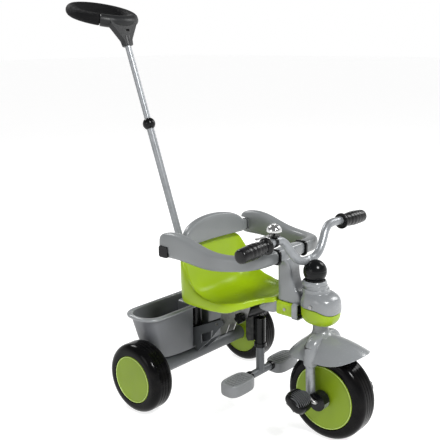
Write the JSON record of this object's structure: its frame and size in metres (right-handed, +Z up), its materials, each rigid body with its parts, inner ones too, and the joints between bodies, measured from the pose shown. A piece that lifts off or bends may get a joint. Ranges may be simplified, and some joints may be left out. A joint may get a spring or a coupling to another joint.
{
  "type": "children's tricycle",
  "caption": "Child push tricycle with a steered front wheel and pedals, bucket seat with swing-open arm rails, folding footrest, rear basket and telescoping push bar with a ring handle.",
  "frame": {"origin": "middle of the rectangle that the tricycle covers, on the floor", "axes": "+Z up, -Y the direction of travel, +X the rider's left"},
  "size_m": [0.4936, 1.0011, 1.0476],
  "materials": {
    "tyre_plastic": "glossy blow-moulded black",
    "wheel_green": "satin olive green",
    "body_green": "glossy lime green",
    "grey_plastic": "glossy mid grey",
    "arm_grey": "soft satin grey",
    "basket_grey": "satin dark grey",
    "black_plastic": "fine-textured black",
    "grip_rubber": "matt black",
    "foam_black": "closed-cell foam, matt",
    "yoke_black": "satin black",
    "silver_paint": "silver-grey powder coat",
    "frame_black": "black powder coat",
    "axle_grey": "dark grey powder coat",
    "zinc_steel": "zinc plated",
    "bell_chrome": "bright plated",
    "bush_nylon": "natural nylon",
    "pad_grey": "fine-textured grey"
  },
  "bodies": {
    "frame": {"arm_clasps": "black_plastic", "backrest_band": "grey_plastic", "basket": "basket_grey", "beam_shroud": "grey_plastic", "chin_cover": "body_green", "fixing_screws": "zinc_steel", "footrest_bracket": "frame_black", "footrest_sleeve": "black_plastic", "front_post": "grey_plastic", "head_bushes": "bush_nylon", "hood": "grey_plastic", "main_frame": "frame_black", "push_bar_lower": "silver_paint", "push_bar_socket": "black_plastic", "rear_axle": "zinc_steel", "rear_axle_housing": "axle_grey", "seat_mount": "zinc_steel", "seat_shell": "body_green", "tunnel_cover": "body_green", "tunnel_strap": "grey_plastic"},
    "steering": {"fork_crown": "frame_black", "fork_leg_left": "silver_paint", "fork_leg_right": "silver_paint", "fork_bearings": "black_plastic", "fork_straps": "silver_paint", "front_fender": "grey_plastic", "handlebar": "silver_paint", "grip_left": "grip_rubber", "grip_right": "grip_rubber", "steering_ball": "black_plastic", "bell_base": "black_plastic", "bell_dome": "bell_chrome"},
    "front_wheel": {"front_tyre": "tyre_plastic", "front_disc_left": "wheel_green", "front_disc_right": "wheel_green", "pedal_crank": "zinc_steel"},
    "pedal_left_body": {"pedal_left": "black_plastic"},
    "pedal_right_body": {"pedal_right": "black_plastic"},
    "bell_lever_body": {"bell_lever": "zinc_steel"},
    "rear_wheel_left": {"rear_tyre_left": "tyre_plastic", "rear_disc_left": "wheel_green", "rear_hub_left": "black_plastic"},
    "rear_wheel_right": {"rear_tyre_right": "tyre_plastic", "rear_disc_right": "wheel_green", "rear_hub_right": "black_plastic"},
    "seat_knob_body": {"seat_knob": "black_plastic"},
    "bar_knob_body": {"bar_knob": "black_plastic"},
    "bar_collar_body": {"bar_collar": "silver_paint"},
    "push_handle": {"push_bar_upper": "silver_paint", "handle_core": "zinc_steel", "handle_foam": "foam_black", "handle_yoke": "yoke_black"},
    "arm_left_body": {"arm_left": "arm_grey"},
    "arm_right_body": {"arm_right": "arm_grey"},
    "arm_button_left_body": {"arm_button_left": "black_plastic"},
    "arm_button_right_body": {"arm_button_right": "black_plastic"},
    "footrest": {"footrest_post": "axle_grey", "footrest_caps": "black_plastic"},
    "foot_pad_left_body": {"foot_pad_left": "pad_grey"},
    "foot_pad_right_body": {"foot_pad_right": "pad_grey"}
  },
  "joints": [
    {"name": "steering_turn", "type": "hinge", "parent": "frame", "child": "steering", "pos_m": [0, -0.36207, 0.241], "axis": [0, 0.1392, 0.9903], "range_deg": [-35, 35]},
    {"name": "front_wheel_spin", "type": "hinge", "parent": "steering", "child": "front_wheel", "pos_m": [0, -0.39307, 0.1075], "axis": [1, 0, 0], "continuous": true},
    {"name": "pedal_right_spin", "type": "hinge", "parent": "front_wheel", "child": "pedal_right_body", "pos_m": [0, -0.37228, 0.1195], "axis": [1, 0, 0], "continuous": true},
    {"name": "pedal_left_spin", "type": "hinge", "parent": "front_wheel", "child": "pedal_left_body", "pos_m": [0, -0.41385, 0.0955], "axis": [1, 0, 0], "continuous": true},
    {"name": "bell_lever_flick", "type": "hinge", "parent": "steering", "child": "bell_lever_body", "pos_m": [-0.137, -0.30995, 0.51076], "axis": [0, 0, 1], "range_deg": [0, 20], "stiffness_Nm_per_rad": 0.03, "springref_deg": -17.19},
    {"name": "rear_wheel_left_spin", "type": "hinge", "parent": "frame", "child": "rear_wheel_left", "pos_m": [0, 0.05043, 0.0913], "axis": [1, 0, 0], "continuous": true},
    {"name": "rear_wheel_right_spin", "type": "hinge", "parent": "frame", "child": "rear_wheel_right", "pos_m": [0, 0.05043, 0.0913], "axis": [1, 0, 0], "continuous": true},
    {"name": "seat_knob_turn", "type": "hinge", "parent": "frame", "child": "seat_knob_body", "pos_m": [0, -0.12507, 0.238], "axis": [1, 0, 0], "continuous": true},
    {"name": "bar_knob_turn", "type": "hinge", "parent": "frame", "child": "bar_knob_body", "pos_m": [0, 0.06443, 0.27617], "axis": [0, 0.9409, -0.3387], "continuous": true},
    {"name": "bar_collar_twist", "type": "hinge", "parent": "frame", "child": "bar_collar_body", "pos_m": [0, 0.22296, 0.7165], "axis": [0, 0.3387, 0.9409], "range_deg": [0, 90]},
    {"name": "push_bar_telescope", "type": "slide", "parent": "frame", "child": "push_handle", "axis": [0, -0.3387, -0.9409], "range_m": [0, 0.2]},
    {"name": "arm_left_swing", "type": "hinge", "parent": "frame", "child": "arm_left_body", "pos_m": [0.156, -0.00907, 0.441], "axis": [0, 0, 1], "range_deg": [0, 75]},
    {"name": "arm_right_swing", "type": "hinge", "parent": "frame", "child": "arm_right_body", "pos_m": [-0.156, -0.00907, 0.441], "axis": [0, 0, -1], "range_deg": [0, 75]},
    {"name": "arm_button_left_press", "type": "slide", "parent": "arm_left_body", "child": "arm_button_left_body", "axis": [-1, 0, 0], "range_m": [0, 0.0025], "stiffness_N_per_m": 500, "springref_m": -0.002},
    {"name": "arm_button_right_press", "type": "slide", "parent": "arm_right_body", "child": "arm_button_right_body", "axis": [1, 0, 0], "range_m": [0, 0.0025], "stiffness_N_per_m": 500, "springref_m": -0.002},
    {"name": "footrest_height", "type": "slide", "parent": "frame", "child": "footrest", "axis": [0, 0, 1], "range_m": [0, 0.018]},
    {"name": "foot_pad_left_fold", "type": "hinge", "parent": "footrest", "child": "foot_pad_left_body", "pos_m": [0, -0.17407, 0.098], "axis": [1, 0, 0], "range_deg": [0, 85]},
    {"name": "foot_pad_right_fold", "type": "hinge", "parent": "footrest", "child": "foot_pad_right_body", "pos_m": [0, -0.17407, 0.098], "axis": [1, 0, 0], "range_deg": [0, 85]}
  ]
}
